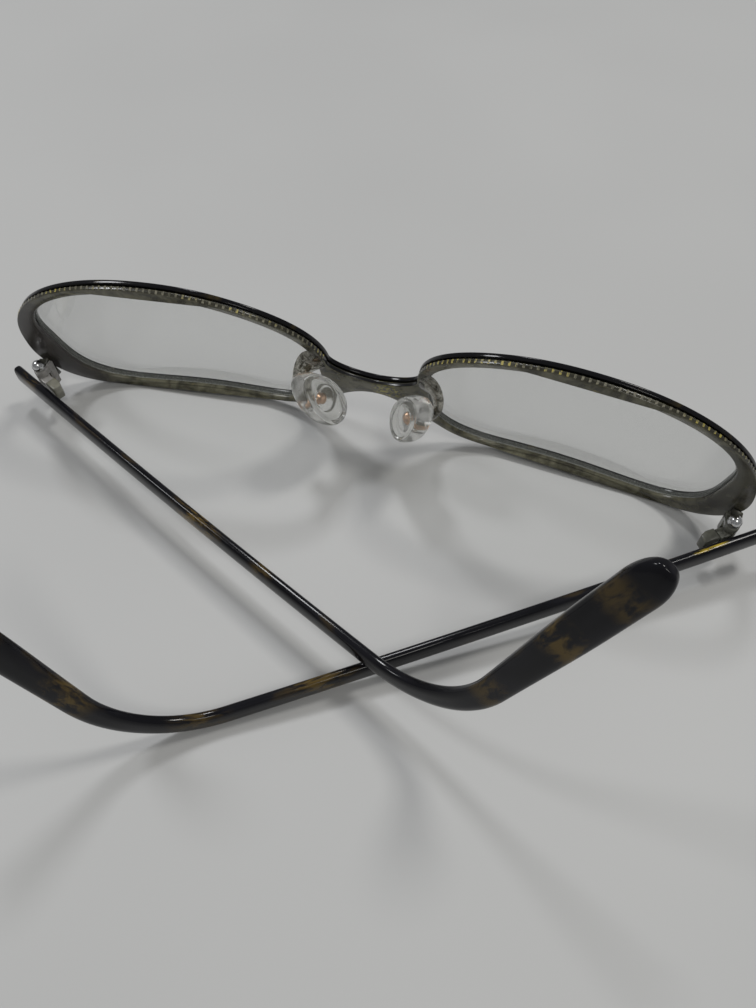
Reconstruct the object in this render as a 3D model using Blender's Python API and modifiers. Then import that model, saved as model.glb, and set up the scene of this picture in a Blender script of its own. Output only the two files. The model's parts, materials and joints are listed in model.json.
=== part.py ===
"""Full rim eyeglasses with a laminated front, lying upside down with the temples half folded.

Metres, +Z up, the table is Z = 0.  X runs across the front and -Y is the wearer's side.
The brow rim and one temple bend rest on the table; the lower rims and the ear tips point up.
A place on the front is given as u (across), v (up from the brow plane) and n (forward of the
dished middle surface); a place on a temple as its distance along the temple from the hinge pin.
"""
import math

import bmesh
import bpy
from mathutils import Matrix, Vector

MM = 0.001

# The front
LENS_HALF_WIDTH = 25.0 * MM      # of the opening
LENS_HALF_HEIGHT = 17.0 * MM
BROW_HALF_HEIGHT = 17.65 * MM    # of its half next to the brow, where the rim is slimmer
LENS_CENTRE_U = 34.7 * MM        # from the middle of the bridge to the middle of a lens
LENS_CENTRE_V = 20.6 * MM
BROW_SQUARENESS = 3.6            # exponents of the two halves of the lens outline
LOWER_SQUARENESS = 2.35
RIM_WIDTH = 1.8 * MM
END_PIECE_EXTRA = 3.3 * MM       # how much wider the rim grows at the end piece
END_PIECE_ANGLE = math.radians(-15)
END_PIECE_SPREAD = math.radians(25)
LAYER_DEPTH = 0.80 * MM          # of each laminate
GLUE_GAP = 0.3 * MM
EDGE_CHAMFER = 0.22 * MM
BRIDGE_TOP_V = 18.1 * MM
BRIDGE_FOOT_V = 14.1 * MM
BRIDGE_TOP_PULL = 3.6 * MM       # how far the bridge's edges run straight from its middle
BRIDGE_FOOT_PULL = 4.6 * MM
NASAL_TOP_PULL = (0.1 * MM, -2.6 * MM)   # where its top edge leaves the nasal rim
NASAL_FOOT_PULL = 5.0 * MM
RIM_FIRST = math.radians(176)    # the part of the lens outline that the rim follows
RIM_LAST = math.radians(-147)
RIM_STEPS = 54
BRIDGE_STEPS = 8
LENS_STEPS = 48
INTO_JOINT = 0.3 * MM            # clearance of a moulded part behind the olive laminate
BASE_CURVE = 130.0 * MM          # radius of the dished front and of the lenses
FLAT_HALF = 22.6 * MM            # half width of the part of the front that isn't wrapped
BRIDGE_ADVANCE = 0.56 * MM
FRONT_TILT = math.radians(20.2)  # lower rims towards the wearer

# The lenses
LENS_THICKNESS = 0.9 * MM
LENS_SHOULDER = 0.25 * MM        # inside the opening
LENS_BEVEL = 0.12 * MM           # beyond the opening, in the groove

# The hinges
PIN_U = 63.3 * MM
PIN_Y = -14.0 * MM
PIN_Z = 7.3 * MM
PIN_RADIUS = 0.55 * MM
BORE_RADIUS = 0.60 * MM
KNUCKLE_RADIUS = 1.15 * MM
MIDDLE_RADIUS = 1.12 * MM       # of the temple's knuckle
STACK_HALF = 2.5 * MM            # half height of the three knuckles
MIDDLE_HALF = 1.05 * MM
FRONT_REACH = 2.5 * MM           # of the front knuckles' web, towards the front
AXIAL_GAP = 0.05 * MM
SCREW_HEAD_RADIUS = 1.15 * MM
BEAD_LIFT = 0.8 * MM             # of the bead's middle over its flange
BEAD_CLOSE = math.radians(130)
PIN_PROUD = 0.25 * MM
FRONT_TAIL = (-0.5 * MM, -1.12 * MM)   # inner and outer edge of a knuckle's tail, outwards
TEMPLE_TAIL = (-0.8 * MM, 1.09 * MM)
TEMPLE_REACH = -2.3 * MM
KNUCKLE_STEPS = 18
MIDDLE_CUT = (2.9 * MM, 2.75 * MM)
MIDDLE_CUT_SHIFT = -0.05 * MM
STEM_SIDES = (-0.25 * MM, 1.5 * MM)
STEM_END = (1.6 * MM, -2.1 * MM, 2.1 * MM)    # y, and lower and upper z
STEM_ROOT = (4.0 * MM, -2.6 * MM, 3.4 * MM)
BLOCK_SIDES = (-0.9 * MM, 1.12 * MM)
BLOCK_ENDS = (-2.6 * MM, -5.3 * MM)
BLOCK_HALF = 1.45 * MM
BLOCK_TAPER = (1.2 * MM, 0.5 * MM)     # length and depth of its slanted end

# The temples: fold from open and rise towards the bend, per side (-1 left, +1 right)
FOLD = {-1: math.radians(64.7), 1: math.radians(56.0)}
RISE = {-1: math.radians(1.35), 1: math.radians(-3.40)}
TEMPLE_OFFSET = 2.3 * MM         # centreline outside the pin
FRONT_OVERLAP = 4.9 * MM         # temple ahead of the pin, outside the end piece
STRAIGHT = 85.3 * MM
DROP_RADIUS = 18.8 * MM
DROP_ANGLE = math.radians(71.5)
TIP_LENGTH = 33.0 * MM
TIP_TOE_IN = math.radians(15)
BOW = 0.03                       # radians of inward curve along the straight part
TEMPLE_THICKNESS = 1.75 * MM
TEMPLE_HEIGHT = 3.8 * MM
PADDLE_THICKNESS = 2.3 * MM
PADDLE_HEIGHT = 5.0 * MM
PADDLE_GROWTH = (38.0 * MM, 11.0 * MM)   # from the tip, where it starts and stops widening
TIP_RADIUS = 4.5 * MM
CHANNEL_SPARE = 0.4 * MM
WIRE_LENGTH = 120.0 * MM
WIRE_SIZE = (0.55 * MM, 1.1 * MM)
CHANNEL_SIZE = (0.95 * MM, 1.5 * MM)

# The nose pads
PAD_CENTRE = (8.2 * MM, -6.1 * MM, 19.3 * MM)   # u, n, v of the stud ball
PAD_FRONTAL = math.radians(25)   # lean of its length, apart towards the lower rims
PAD_TURN = {-1: math.radians(3), 1: math.radians(24)}   # about its length, towards the wearer
PAD_HALF_LENGTH = 7.0 * MM
PAD_HALF_WIDTH = 3.8 * MM
PAD_THICKNESS = 3.0 * MM
BALL_RADIUS = 0.95 * MM
SOCKET_RADIUS = 1.02 * MM
STUD_NECK = 0.5 * MM
BOSS_STANDOFF = 2.5 * MM         # boss end to the ball centre
BOSS_ROOT = (9.6 * MM, 23.4 * MM)   # u, v of the middle of its foot on the nasal rim
BOSS_HALF = (3.2 * MM, 1.1 * MM)
BOSS_END_HALF = (1.25 * MM, 0.8 * MM)
BOSS_LEAN = math.radians(76)
BOSS_SWING = (2.9 * MM, 1.0 * MM, 3.4 * MM)   # outwards and back at its foot, and behind the stud
BOSS_STEPS = 9
BOSS_TURN = 0.9                  # share of its length over which it turns from the rim to its path
BOSS_SIDES = 14
SOCKET_SPARE = 0.12 * MM
PAD_BACK = -0.45 * PAD_THICKNESS
PAD_FACE = 0.55 * PAD_THICKNESS
PAD_FULLNESS = 0.14              # how much wider the pad is at its end nearer the brow

ORIGIN = Vector((0.0, -36.6 * MM, 0.31 * MM))   # moves the middle of its footprint to the origin
SIDES = {-1: "left", 1: "right"}
FINISH = {
    "tortoise": ((0.018, 0.013, 0.010), 0.12, 0.0, 1.0),
    "olive": ((0.085, 0.080, 0.050), 0.22, 0.0, 1.0),
    "lens": ((0.93, 0.95, 0.94), 0.02, 0.0, 0.12),
    "clear_moulding": ((0.62, 0.61, 0.54), 0.15, 0.0, 0.55),
    "silicone": ((0.80, 0.80, 0.76), 0.25, 0.0, 0.45),
    "stud": ((0.78, 0.55, 0.42), 0.25, 0.0, 0.7),
    "steel": ((0.72, 0.72, 0.73), 0.22, 1.0, 1.0),
}


def clear_scene():
    for thing in list(bpy.data.objects):
        bpy.data.objects.remove(thing, do_unlink=True)


def collection(name):
    group = bpy.data.collections.new(name)
    bpy.context.scene.collection.children.link(group)
    return group


def material(name):
    made = bpy.data.materials.get(name)
    if made:
        return made
    colour, roughness, metallic, alpha = FINISH[name]
    made = bpy.data.materials.new(name)
    made.use_nodes = True
    shader = made.node_tree.nodes["Principled BSDF"]
    shader.inputs["Base Color"].default_value = (*colour, 1.0)
    shader.inputs["Roughness"].default_value = roughness
    shader.inputs["Metallic"].default_value = metallic
    shader.inputs["Alpha"].default_value = alpha
    return made


def add_object(name, mesh, finish, parent=None, group="eyeglasses"):
    mesh.name = name
    mesh.materials.clear()
    mesh.materials.append(material(finish))
    mesh.shade_smooth()
    mesh.set_sharp_from_angle(angle=math.radians(35))
    thing = bpy.data.objects.new(name, mesh)
    bpy.data.collections[group].objects.link(thing)
    thing.parent = parent
    return thing


def add_empty(name, matrix, parent=None):
    thing = bpy.data.objects.new(name, None)
    bpy.data.collections["eyeglasses"].objects.link(thing)
    thing.parent = parent
    thing.empty_display_size = 5 * MM
    thing.matrix_basis = matrix
    return thing


def loft(rings):
    """A solid through rings of equal count, capped at both ends."""
    shape = bmesh.new()
    rows = [[shape.verts.new(place) for place in ring] for ring in rings]
    count = len(rows[0])
    for low, high in zip(rows, rows[1:]):
        for i in range(count):
            j = (i + 1) % count
            shape.faces.new((low[i], low[j], high[j], high[i]))
    shape.faces.new(list(reversed(rows[0])))
    shape.faces.new(rows[-1])
    bmesh.ops.recalc_face_normals(shape, faces=shape.faces)
    mesh = bpy.data.meshes.new("loft")
    shape.to_mesh(mesh)
    shape.free()
    return mesh


def split_faces(mesh):
    """Cuts every face into flat triangles."""
    shape = bmesh.new()
    shape.from_mesh(mesh)
    bmesh.ops.triangulate(shape, faces=shape.faces)
    shape.to_mesh(mesh)
    shape.free()
    return mesh


def slab(outlines, depth, chamfer=0.0):
    """A flat outline with holes, extruded evenly about z = 0.  Holes run the other way round."""
    curve = bpy.data.curves.new("outline", "CURVE")
    curve.dimensions = "2D"
    curve.fill_mode = "BOTH"
    curve.extrude = depth / 2 - chamfer
    curve.bevel_depth = chamfer
    curve.bevel_resolution = 0
    curve.offset = -chamfer
    for points in outlines:
        spline = curve.splines.new("POLY")
        spline.points.add(len(points) - 1)
        for point, (x, y) in zip(spline.points, points):
            point.co = (x, y, 0.0, 1.0)
        spline.use_cyclic_u = True
    guide = bpy.data.objects.new("outline", curve)
    bpy.context.scene.collection.objects.link(guide)
    bpy.context.view_layer.update()
    graph = bpy.context.evaluated_depsgraph_get()
    mesh = bpy.data.meshes.new_from_object(guide.evaluated_get(graph))
    bpy.data.objects.remove(guide, do_unlink=True)
    bpy.data.curves.remove(curve)
    shape = bmesh.new()
    shape.from_mesh(mesh)
    bmesh.ops.remove_doubles(shape, verts=shape.verts, dist=1e-6)
    bmesh.ops.recalc_face_normals(shape, faces=shape.faces)
    shape.to_mesh(mesh)
    shape.free()
    return mesh


def turned(name, profile, finish, parent, steps=16):
    """A solid of revolution about z from (radius, height) pairs, top to bottom."""
    mesh = bpy.data.meshes.new(name)
    places = [(radius, 0.0, height) for radius, height in profile]
    mesh.from_pydata(places, [(i, i + 1) for i in range(len(places) - 1)], [])
    thing = add_object(name, mesh, finish, parent)
    screw = thing.modifiers.new("turn", "SCREW")
    screw.axis = "Z"
    screw.steps = steps
    screw.render_steps = steps
    screw.use_merge_vertices = True
    screw.merge_threshold = 1e-6
    screw.use_smooth_shade = True
    return thing


def circle(radius, count, start=0.0):
    sweep = [start + math.tau * i / count for i in range(count)]
    return [(radius * math.cos(angle), radius * math.sin(angle)) for angle in sweep]


def cubic(start, start_pull, end_pull, end, count):
    """Points along a cubic Bezier, ends included."""
    points = []
    for i in range(count):
        t = i / (count - 1)
        a, b, c, d = (1 - t) ** 3, 3 * t * (1 - t) ** 2, 3 * t * t * (1 - t), t ** 3
        points.append(tuple(a * p + b * q + c * r + d * s
                            for p, q, r, s in zip(start, start_pull, end_pull, end)))
    return points


# ---------------------------------------------------------------- front
def front_point(u, v, n):
    """A place on the dished front, in the front's own frame."""
    wrap = max(abs(u) - FLAT_HALF, 0.0)
    dish = (wrap * wrap + (v - LENS_CENTRE_V) ** 2) / (2 * BASE_CURVE)
    return Vector((u, n + BRIDGE_ADVANCE - dish, v))


def lens_edge(angle, grow=0.0):
    """A place on the right lens outline, grown outwards; angle 0 is the temporal end."""
    def bare(a):
        power = LOWER_SQUARENESS if math.sin(a) > 0 else BROW_SQUARENESS
        high = LENS_HALF_HEIGHT if math.sin(a) > 0 else BROW_HALF_HEIGHT
        reach = (abs(math.cos(a) / LENS_HALF_WIDTH) ** power
                 + abs(math.sin(a) / high) ** power) ** (-1 / power)
        return Vector((LENS_CENTRE_U + reach * math.cos(a), LENS_CENTRE_V + reach * math.sin(a)))
    along = bare(angle + 0.02) - bare(angle - 0.02)
    outward = Vector((along.y, -along.x)).normalized()
    return tuple(bare(angle) + grow * outward)


def rim_width(angle):
    bump = math.exp(-((angle - END_PIECE_ANGLE) / END_PIECE_SPREAD) ** 2)
    slim = (BROW_HALF_HEIGHT - LENS_HALF_HEIGHT) * max(-math.sin(angle), 0.0)
    return RIM_WIDTH - slim + END_PIECE_EXTRA * bump


def front_outline():
    """The outer edge of the front, anticlockwise seen with v up and u to the right."""
    rim = []
    for i in range(RIM_STEPS + 1):
        angle = RIM_FIRST + (RIM_LAST - RIM_FIRST) * i / RIM_STEPS
        rim.append(lens_edge(angle, rim_width(angle)))
    leave = (rim[0][0] + NASAL_TOP_PULL[0], rim[0][1] + NASAL_TOP_PULL[1])
    top = cubic((0.0, BRIDGE_TOP_V), (BRIDGE_TOP_PULL, BRIDGE_TOP_V), leave, rim[0], BRIDGE_STEPS)[:-1]
    ahead = (Vector(rim[-1]) - Vector(rim[-2])).normalized()
    foot = cubic(rim[-1], tuple(Vector(rim[-1]) + NASAL_FOOT_PULL * ahead),
                 (BRIDGE_FOOT_PULL, BRIDGE_FOOT_V), (0.0, BRIDGE_FOOT_V), BRIDGE_STEPS)[1:]
    right = top + rim + foot
    left = [(-u, v) for u, v in right[-2:0:-1]]
    return list(reversed(right + left))


def lens_loop(side, count, grow=0.0):
    """A lens outline running clockwise, as a hole does."""
    points = [lens_edge(-math.tau * i / count, grow) for i in range(count)]
    return points if side > 0 else [(-u, v) for u, v in reversed(points)]


def front_layer(name, n_middle, finish, parent):
    outlines = [front_outline(), lens_loop(-1, LENS_STEPS), lens_loop(1, LENS_STEPS)]
    mesh = slab(outlines, LAYER_DEPTH, EDGE_CHAMFER)
    for vertex in mesh.vertices:
        vertex.co = front_point(vertex.co.x, vertex.co.y, n_middle - vertex.co.z)
    return add_object(name, mesh, finish, parent)


def lens(side, parent):
    """A thin dished lens with a bevelled edge in the groove between the laminates."""
    half = LENS_THICKNESS / 2

    def ring(scale, grow, n):
        places = []
        for u, v in lens_loop(side, LENS_STEPS, grow):
            u = side * LENS_CENTRE_U + (u - side * LENS_CENTRE_U) * scale
            v = LENS_CENTRE_V + (v - LENS_CENTRE_V) * scale
            places.append(front_point(u, v, n))
        return places

    faces = (0.04, 0.4, 0.75)
    rings = [ring(scale, -LENS_SHOULDER, half) for scale in faces]
    rings.append(ring(1.0, -LENS_SHOULDER, half))
    rings.append(ring(1.0, LENS_BEVEL, 0.0))
    rings.append(ring(1.0, -LENS_SHOULDER, -half))
    rings.extend(ring(scale, -LENS_SHOULDER, -half) for scale in reversed(faces))
    return add_object("lens_" + SIDES[side], loft(rings), "lens", parent)


# ---------------------------------------------------------------- nose pads
def pad_matrix(side):
    """The pad's frame: z out of its face towards the nose, y up along its length."""
    u, n, v = PAD_CENTRE
    along = Vector((side * math.sin(PAD_FRONTAL), 0.0, math.cos(PAD_FRONTAL)))
    facing = Vector((-side * math.cos(PAD_FRONTAL), 0.0, math.sin(PAD_FRONTAL)))
    facing.rotate(Matrix.Rotation(side * PAD_TURN[side], 3, along))
    turn = Matrix((along.cross(facing), along, facing)).transposed()
    return Matrix.Translation(front_point(side * u, v, n)) @ turn.to_4x4()


def pad_outline(scale_length, scale_width, count=20):
    """A drop-like oval, fuller at the end nearer the brow."""
    points = []
    for x, y in circle(1.0, count):
        fuller = 1.0 - PAD_FULLNESS * y
        points.append((x * fuller * PAD_HALF_WIDTH * scale_width,
                       y * PAD_HALF_LENGTH * scale_length))
    return points


def nose_pad(side, parent):
    """A silicone pad with a flat face and a blind socket in its back."""
    back, face = PAD_BACK, PAD_FACE
    socket = circle(SOCKET_RADIUS, 20)
    depth = BALL_RADIUS + SOCKET_SPARE

    def ring(points, z):
        return [Vector((x, y, z)) for x, y in points]

    rings = [ring([(x * 0.2, y * 0.2) for x, y in socket], depth), ring(socket, depth),
             ring(socket, back), ring(pad_outline(0.80, 0.74), back),
             ring(pad_outline(0.97, 0.96), back * 0.55), ring(pad_outline(1.0, 1.0), 0.0),
             ring(pad_outline(0.96, 0.94), face * 0.75), ring(pad_outline(0.86, 0.80), face),
             ring(pad_outline(0.1, 0.1), face)]
    mesh = loft(rings)
    return add_object("nose_pad_" + SIDES[side], mesh, "silicone", parent)


def pad_stud(side, parent):
    """A short neck out of the boss that ends in the ball the pad rocks on."""
    neck_end = -math.sqrt(BALL_RADIUS ** 2 - STUD_NECK ** 2)
    start = math.asin(neck_end / BALL_RADIUS)
    arc = [start + (math.pi / 2 - start) * i / 7 for i in range(8)]
    profile = [(BALL_RADIUS * math.cos(a), BALL_RADIUS * math.sin(a)) for a in reversed(arc)]
    profile[0] = (0.0, BALL_RADIUS)
    foot = -BOSS_STANDOFF + INTO_JOINT
    profile += [(STUD_NECK, foot), (0.0, foot)]
    return turned("pad_stud_" + SIDES[side], profile, "stud", parent, steps=14)


def pad_boss(side, front):
    """A moulded arm from the back of the nasal rim, round behind the pad to its stud."""
    frame = pad_matrix(side)
    facing = frame.to_3x3() @ Vector((0.0, 0.0, 1.0))
    behind = -(LAYER_DEPTH + GLUE_GAP / 2) - INTO_JOINT
    u, v = BOSS_ROOT
    foot = front_point(side * u, v, behind)
    end = frame @ Vector((0.0, 0.0, -BOSS_STANDOFF))
    out, back, behind_stud = BOSS_SWING
    leave = foot + Vector((side * out, -back, 0.0))
    path = cubic(foot, leave, end - facing * behind_stud, end, BOSS_STEPS)
    long_way = Vector((side * math.cos(BOSS_LEAN), 0.0, math.sin(BOSS_LEAN)))
    end_long = (long_way - facing * long_way.dot(facing)).normalized()
    headings = [Vector(b) - Vector(a) for a, b in zip(path, path[1:])] + [facing]
    rings = []
    for i, middle in enumerate(path):
        share = i / (len(path) - 1)
        slim = smooth_step(share, 0.0, 0.6)
        long_half = BOSS_HALF[0] + (BOSS_END_HALF[0] - BOSS_HALF[0]) * slim
        short_half = BOSS_HALF[1] + (BOSS_END_HALF[1] - BOSS_HALF[1]) * slim
        ahead = Vector((0.0, -1.0, 0.0)).lerp(headings[i].normalized(), smooth_step(share, 0.0, BOSS_TURN))
        ahead.normalize()
        along = long_way.lerp(end_long, slim)
        along = (along - ahead * along.dot(ahead)).normalized()
        across = ahead.cross(along)
        rings.append([Vector(middle) + along * (long_half * x) + across * (short_half * y)
                      for x, y in circle(1.0, BOSS_SIDES)])
    return add_object("pad_boss_" + SIDES[side], split_faces(loft(rings)), "clear_moulding", front)


# ---------------------------------------------------------------- hinges
def hinge_matrix(side):
    """The hinge axis' frame before folding: z along the pin, y forward, the temple square to it."""
    fold = Matrix.Rotation(-side * FOLD[side], 4, "Z")
    rise = Matrix.Rotation(-RISE[side], 4, "X")
    turn = fold @ rise @ fold.inverted()
    return Matrix.Translation(Vector((side * PIN_U, PIN_Y, PIN_Z)) - ORIGIN) @ turn


def leaf_outline(radius, x_near, x_far, reach):
    """A knuckle with a tail, whose edges are at x_near and x_far and whose end is at y = reach."""
    towards = math.copysign(1.0, reach)

    def rim_angle(x):
        return math.atan2(towards * math.sqrt(radius ** 2 - x * x), x)

    leave = rim_angle(x_far)
    turn = (rim_angle(x_near) - leave) % math.tau
    if towards * x_far > 0:
        turn -= math.tau
    sweep = [leave + turn * i / KNUCKLE_STEPS for i in range(KNUCKLE_STEPS + 1)]
    barrel = [(radius * math.cos(a), radius * math.sin(a)) for a in sweep]
    return barrel + [(x_near, reach), (x_far, reach)]


def oriented(points, clockwise):
    area = sum(a[0] * b[1] - b[0] * a[1] for a, b in zip(points, points[1:] + points[:1]))
    return list(reversed(points)) if (area < 0) != clockwise else points


def knuckle(name, outline, height, finish, parent):
    """A flat moulded eye round the pin, with its tail."""
    bore = oriented(circle(BORE_RADIUS, KNUCKLE_STEPS), clockwise=True)
    return add_object(name, slab([oriented(outline, clockwise=False), bore], height), finish, parent)


def cut_middle(leaf, side, parent):
    """Clears the space of the temple's knuckle out of the front knuckles."""
    mesh = bpy.data.meshes.new("middle_gap")
    shape = bmesh.new()
    bmesh.ops.create_cube(shape, size=1.0)
    height = 2 * (MIDDLE_HALF + AXIAL_GAP)
    size = Matrix.Diagonal((*MIDDLE_CUT, height, 1.0))
    bmesh.ops.transform(shape, matrix=size, verts=shape.verts)
    shape.to_mesh(mesh)
    shape.free()
    cutter = add_object("middle_gap_" + SIDES[side], mesh, "steel", parent, "cutters")
    cutter.location = (0.0, MIDDLE_CUT_SHIFT, 0.0)
    cutter.hide_render = True
    cutter.display_type = "WIRE"
    cut = leaf.modifiers.new("middle gap", "BOOLEAN")
    cut.operation = "DIFFERENCE"
    cut.object = cutter
    cut.solver = "EXACT"


def hinge_screw(side, parent):
    """The pin, held up by a flange on the knuckles and ending in a round bead."""
    rest = STACK_HALF + AXIAL_GAP
    flange = SCREW_HEAD_RADIUS * 0.75
    middle = rest + BEAD_LIFT
    profile = []
    for i in range(9):
        angle = BEAD_CLOSE * i / 8
        profile.append((SCREW_HEAD_RADIUS * math.sin(angle), middle + SCREW_HEAD_RADIUS * math.cos(angle)))
    profile += [(flange, rest), (PIN_RADIUS, rest), (PIN_RADIUS, -STACK_HALF - PIN_PROUD),
                (0.0, -STACK_HALF - PIN_PROUD)]
    return turned("hinge_screw_" + SIDES[side], profile, "steel", parent, steps=18)


def hinge_stem(side, front):
    """The olive block that carries the front knuckles behind the end piece."""
    to_front = front.matrix_basis.inverted() @ hinge_matrix(side)
    inner, outer = STEM_SIDES
    behind = -(LAYER_DEPTH + GLUE_GAP / 2) - INTO_JOINT
    back, root = [], []
    y, low, high = STEM_END
    for x, z in ((inner, low), (outer, low), (outer, high), (inner, high)):
        back.append(to_front @ Vector((side * x, y, z)))
    y, low, high = STEM_ROOT
    for x, z in ((inner, low), (outer, low), (outer, high), (inner, high)):
        place = to_front @ Vector((side * x, y, z))
        root.append(front_point(place.x, place.z, behind))
    return add_object("hinge_stem_" + SIDES[side], loft([root, back]), "olive", front)


# ---------------------------------------------------------------- temples
def temple_frames(side, count, first, last):
    """Centreline places of the temple with the outward and upward directions there."""
    bend = DROP_ANGLE * DROP_RADIUS
    total = STRAIGHT + bend + TIP_LENGTH
    step = 1.0 * MM
    place = Vector((side * TEMPLE_OFFSET, FRONT_OVERLAP, 0.0))
    wanted = [first + (last - first) * i / (count - 1) for i in range(count)]
    frames = []
    here = -FRONT_OVERLAP
    while here <= total + step and len(frames) < count:
        ratio = min(max((here - STRAIGHT) / bend, 0.0), 1.0)
        lift = DROP_ANGLE * ratio
        swing = TIP_TOE_IN * ratio + BOW * min(max(here / STRAIGHT - 0.5, -0.5), 0.5)
        ahead = Vector((-side * math.sin(swing), -math.cos(swing) * math.cos(lift),
                        math.cos(swing) * math.sin(lift)))
        outward = Vector((side * math.cos(swing), -math.sin(swing) * math.cos(lift),
                          math.sin(swing) * math.sin(lift)))
        upward = outward.cross(ahead) * -side
        while len(frames) < count and wanted[len(frames)] < here + step:
            frames.append((place + ahead * (wanted[len(frames)] - here), outward, upward))
        place = place + ahead * step
        here += step
    return frames, wanted


def smooth_step(x, low, high):
    t = min(max((x - low) / (high - low), 0.0), 1.0)
    return t * t * (3 - 2 * t)


def temple_section(along):
    """Half thickness and half height of the temple at a distance from the pin."""
    end = STRAIGHT + DROP_ANGLE * DROP_RADIUS + TIP_LENGTH
    widen = smooth_step(along, end - PADDLE_GROWTH[0], end - PADDLE_GROWTH[1])
    thick = TEMPLE_THICKNESS + (PADDLE_THICKNESS - TEMPLE_THICKNESS) * widen
    high = TEMPLE_HEIGHT + (PADDLE_HEIGHT - TEMPLE_HEIGHT) * widen
    left = max(end - along, 0.0)
    if left < TIP_RADIUS:
        rounding = math.sqrt(max(1 - (1 - left / TIP_RADIUS) ** 2, 0.0))
        high *= rounding * 0.8 + 0.2
        thick *= rounding * 0.5 + 0.5
    return thick / 2, high / 2


def temple_ring(frame, half_thick, half_high, count=12, power=3.0):
    place, outward, upward = frame
    ring = []
    for x, y in circle(1.0, count, start=math.pi / count):
        reach = (abs(x) ** power + abs(y) ** power) ** (-1 / power)
        ring.append(place + outward * (x * reach * half_thick) + upward * (y * reach * half_high))
    return ring


def temple(side, pivot):
    """The tortoise temple, with a channel for its core wire that opens at the front end."""
    end = STRAIGHT + DROP_ANGLE * DROP_RADIUS + TIP_LENGTH
    frames, places = temple_frames(side, 30, -FRONT_OVERLAP, STRAIGHT)
    bend_frames, bend_places = temple_frames(side, 22, STRAIGHT + 2.5 * MM, end - 5 * MM)
    tip_frames, tip_places = temple_frames(side, 6, end - 4.2 * MM, end)
    frames = frames[::3] + frames[-1:] + bend_frames + tip_frames
    places = places[::3] + places[-1:] + bend_places + tip_places
    outer = [temple_ring(frame, *temple_section(along)) for frame, along in zip(frames, places)]
    width, height = CHANNEL_SIZE
    deep = WIRE_LENGTH + CHANNEL_SPARE
    bore_frames, _ = temple_frames(side, 34, -FRONT_OVERLAP, deep)
    bore = [temple_ring(frame, width / 2, height / 2) for frame in bore_frames]
    mesh = loft(list(reversed(bore)) + outer)
    return add_object("temple_" + SIDES[side], mesh, "tortoise", pivot)


def core_wire(side, pivot):
    width, height = WIRE_SIZE
    frames, _ = temple_frames(side, 34, -FRONT_OVERLAP + 0.3 * MM, WIRE_LENGTH)
    rings = [temple_ring(frame, width / 2, height / 2, count=6, power=4.0) for frame in frames]
    return add_object("core_wire_" + SIDES[side], loft(rings), "steel", pivot)


def hinge_block(side, pivot):
    """The olive block on the temple's inner face behind its knuckle."""
    inner, outer = BLOCK_SIDES
    near, far = BLOCK_ENDS
    taper, deep = BLOCK_TAPER
    low, high = -BLOCK_HALF, BLOCK_HALF
    rings = []
    for y, slim in ((near, 0.0), (far + taper, 0.0), (far, deep)):
        corners = ((inner + slim, low), (outer, low), (outer, high), (inner + slim, high))
        rings.append([Vector((side * x, y, z)) for x, z in corners])
    return add_object("hinge_block_" + SIDES[side], loft(rings), "olive", pivot)


# ---------------------------------------------------------------- assembly
def build_front():
    front = add_empty("front", Matrix.Translation(-ORIGIN) @ Matrix.Rotation(FRONT_TILT, 4, "X"))
    middle = (LAYER_DEPTH + GLUE_GAP) / 2
    front_layer("front_tortoise", middle, "tortoise", front)
    front_layer("front_olive", -middle, "olive", front)
    for side, word in SIDES.items():
        lens(side, front)
        pad_boss(side, front)
        seat = add_empty("pad_seat_" + word, pad_matrix(side), front)
        pad_stud(side, seat)
        nose_pad(side, seat)
        hinge_stem(side, front)


def build_hinges_and_temples():
    for side, word in SIDES.items():
        hinge = add_empty("hinge_axis_" + word, hinge_matrix(side))
        near, far = FRONT_TAIL
        outline = leaf_outline(KNUCKLE_RADIUS, side * near, side * far, FRONT_REACH)
        pair = knuckle("front_knuckle_" + word, outline, 2 * STACK_HALF, "clear_moulding", hinge)
        cut_middle(pair, side, hinge)
        hinge_screw(side, hinge)
        pivot = add_empty("temple_pivot_" + word, Matrix.Rotation(-side * FOLD[side], 4, "Z"), hinge)
        near, far = TEMPLE_TAIL
        outline = leaf_outline(MIDDLE_RADIUS, side * near, side * far, TEMPLE_REACH)
        knuckle("temple_knuckle_" + word, outline, 2 * MIDDLE_HALF, "clear_moulding", pivot)
        hinge_block(side, pivot)
        temple(side, pivot)
        core_wire(side, pivot)


clear_scene()
collection("eyeglasses")
collection("cutters")
build_front()
build_hinges_and_temples()
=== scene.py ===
"""Full rim eyeglasses, upside down on a pale table: polished tortoise and olive laminates, clear lenses,
silicone nose pads and folding temples.  Metres; +Z is up and the wearer is at -Y."""
import json
import math

import bmesh
import bpy
from mathutils import Matrix, Vector

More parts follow.
